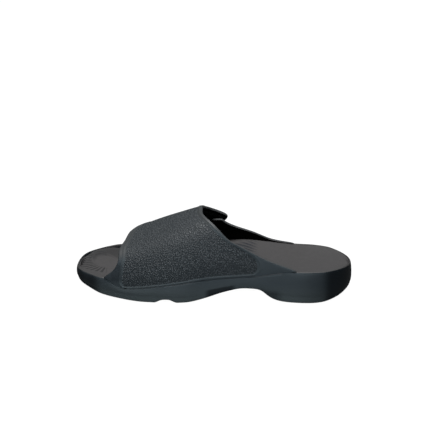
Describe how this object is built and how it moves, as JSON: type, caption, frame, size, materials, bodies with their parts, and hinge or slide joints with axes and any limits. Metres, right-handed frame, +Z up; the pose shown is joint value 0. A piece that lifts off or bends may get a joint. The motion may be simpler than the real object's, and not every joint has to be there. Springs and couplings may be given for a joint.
{
  "type": "sport slide sandal",
  "caption": "Right-foot moulded foam slide sandal with a contoured footbed, open toe and heel, and a broad instep strap closed by hook-and-loop on the lateral side.",
  "frame": {"origin": "on the floor, under the middle of the whole sandal", "axes": "+X from toe to heel along the foot, +Y towards the lateral side, +Z up"},
  "size_m": [0.285, 0.1062, 0.0842],
  "materials": {
    "sole_foam": "matte moulded foam, charcoal with a blue cast",
    "footbed_foam": "matte foam footbed, warm dark grey, fine grip lines",
    "strap_foam": "matte foam strap, charcoal, pebbled panel between smooth bands",
    "hook_tape": "woven tape with black hooks",
    "loop_tape": "napped black loop tape"
  },
  "bodies": {
    "root": {"sole": "sole_foam", "footbed": "footbed_foam", "upper": "strap_foam", "hook_tape": "hook_tape", "loop_tape": "loop_tape"}
  },
  "joints": []
}
